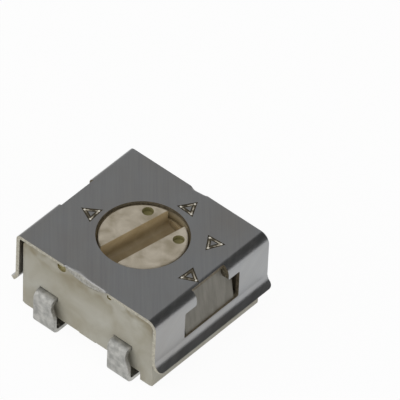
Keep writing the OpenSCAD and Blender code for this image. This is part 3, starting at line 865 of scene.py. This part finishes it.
alumina = inner("fired_alumina", "#f2efe8", "#e6e1d6", 0.2, 0.6)
cermet = inner("fired_cermet", "#3a3532", "#2a2725", 0.1, 0.45)
silver = inner("palladium_silver_film", "#cfcabd", "#b0aa9c", 0.1, 0.45, 1.0)
rubber = inner("silicone_rubber", "#85775b", "#6d6045", 0.2, 0.6)
spring = inner("plated_spring_alloy", "#d8bd7c", "#c9a862", 0.2, 0.3, 1.0)
for node, finish in (("substrate", alumina), ("resistor_track", cermet), ("end_pad_1", silver),
                     ("end_pad_3", silver), ("collector_pad", silver), ("seal_ring", rubber),
                     ("wiper", spring)):
    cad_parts[node].data.materials.clear()
    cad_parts[node].data.materials.append(finish)
    print(node, "->", finish.name)

# %% [markdown]
# ## Camera, floor and light
# The photograph was taken with a long lens from well above the front corner. The camera's turn,
# height and distance were solved from the part's own corners.

# %% Camera
TURN, HEIGHT, ROLL = (math.radians(a) for a in (39.313, 44.902, 2.769))
DISTANCE = 0.199049             # metres from the aim
AIM_RIGHT, AIM_UP, AIM_Z = 1.276, 1.469, 1.5    # mm, in the picture's plane and above the soles
FOCAL_PX, PICTURE_PX, SENSOR = 8570.9, 400, 36  # focal length and width in pixels, sensor in mm

back = Vector((math.sin(TURN) * math.cos(HEIGHT), -math.cos(TURN) * math.cos(HEIGHT),
               math.sin(HEIGHT)))
level = Vector((math.cos(TURN), math.sin(TURN), 0))
rise = back.cross(level)
right = math.cos(ROLL) * level + math.sin(ROLL) * rise
up = -math.sin(ROLL) * level + math.cos(ROLL) * rise
aim = (AIM_RIGHT * level + AIM_UP * rise + Vector((0, 0, AIM_Z))) / 1000
clear_selection()
bpy.ops.object.camera_add()
camera = bpy.context.object
camera.name = "camera"
camera.matrix_world = (Matrix.Translation(aim + back * DISTANCE)
                       @ Matrix((right, up, back)).transposed().to_4x4())
camera.data.sensor_width = SENSOR
camera.data.lens = FOCAL_PX / PICTURE_PX * SENSOR
camera.data.clip_start, camera.data.clip_end = 0.01, 20
scene.camera = camera
print("lens, mm:", round(camera.data.lens, 1))

# %% [markdown]
# The floor is white paper. To the camera and in mirrors and glass it is nearly all plain white,
# with a trace of the shadow left. To the light that it scatters it is paper.

# %% Floor
clear_selection()
bpy.ops.mesh.primitive_plane_add(size=1.2, location=(0, 0, 0))
floor = bpy.context.object
floor.name = "floor"
paper, tree, shader = new_finish("white_paper_floor", rough=0.9)
shader.inputs["Base Color"].default_value = srgb("#f6f6f5")
shader.inputs["Specular IOR Level"].default_value = 0.1
rays = add(tree, "ShaderNodeLightPath")
seen = rays.outputs["Is Camera Ray"]
for kind in ("Is Glossy Ray", "Is Transmission Ray"):
    seen = add(tree, "ShaderNodeMath", {0: seen, 1: rays.outputs[kind]},
               operation="MAXIMUM").outputs[0]
share = add(tree, "ShaderNodeMath", {0: seen, 1: 0.95}, operation="MULTIPLY")
white = add(tree, "ShaderNodeEmission", {"Color": srgb("#ffffff"), "Strength": 1.0})
both = add(tree, "ShaderNodeMixShader", {0: share.outputs[0], 1: shader.outputs[0],
                                         2: white.outputs[0]})
tree.links.new(both.outputs[0], tree.nodes["Material Output"].inputs["Surface"])
floor.data.materials.append(paper)
print("floor: white to the camera and to metal, with a trace of the shadow left")

# %% Lamps and world
def lamp(name, place, size, power):
    """A square soft box that faces the part."""
    clear_selection()
    bpy.ops.object.light_add(type="AREA", location=place)
    light = bpy.context.object
    light.name = name
    light.data.size = size
    light.data.energy = power
    light.rotation_euler = (-Vector(place)).to_track_quat("-Z", "Y").to_euler()


lamp("overhead_box", (0.10, -0.12, 0.48), 0.40, 0.62)
lamp("left_box", (-0.27, -0.40, 0.26), 0.45, 0.70)
lamp("low_right_box", (0.36, 0.06, 0.06), 0.20, 0.20)
world = bpy.data.worlds.new("studio")
scene.world = world
world.use_nodes = True
world.node_tree.nodes["Background"].inputs["Color"].default_value = srgb("#ffffff")
world.node_tree.nodes["Background"].inputs["Strength"].default_value = 0.46

# %% [markdown]
# The fold and the lip of the cover mirror whatever stands beyond the part. In the photograph that
# is something dark, which gives the fold its dark band and the lip its near black. Here two sheets
# of card are bent over the far side, out of the camera's sight: a black one low down and a grey
# one above it. Each is an edge spun round the Y axis.

# %% Dark cards bent over the far side
CARD_R = 0.35                   # metres from the Y axis


def bent_card(name, near_y, far_y, low_angle, high_angle, tone):
    """A matt card spun round the Y axis from one angle above +X to another."""
    clear_selection()
    bpy.ops.mesh.primitive_plane_add(size=1)
    obj = bpy.context.object
    obj.name = name
    edit()
    bpy.ops.mesh.delete(type="ONLY_FACE")
    pick("EDGE", lambda m, n: m.x > 0.4)
    bpy.ops.mesh.select_all(action="INVERT")
    bpy.ops.mesh.delete(type="EDGE")
    edit(False)
    start = math.radians(low_angle)
    for point, y in zip(obj.data.vertices, (near_y, far_y)):
        point.co = (CARD_R * math.cos(start), y, CARD_R * math.sin(start))
    edit()
    bpy.ops.mesh.select_all(action="SELECT")
    bpy.ops.mesh.spin(steps=24, angle=math.radians(high_angle - low_angle), center=(0, 0, 0),
                      axis=(0, 1, 0))
    edit(False)
    finish, tree, shader = new_finish(name + "_paper", rough=1.0)
    shader.inputs["Base Color"].default_value = srgb(tone)
    obj.data.materials.append(finish)
    obj.visible_camera = False
    print(name, "m:", [round(d, 3) for d in obj.dimensions])


bent_card("black_card", 0.12, 0.33, 4, 50, "#0c0c0e")
bent_card("grey_card", 0.05, 0.45, 50, 108, "#4c4b4a")

# %% View settings
scene.view_settings.view_transform = "Standard"
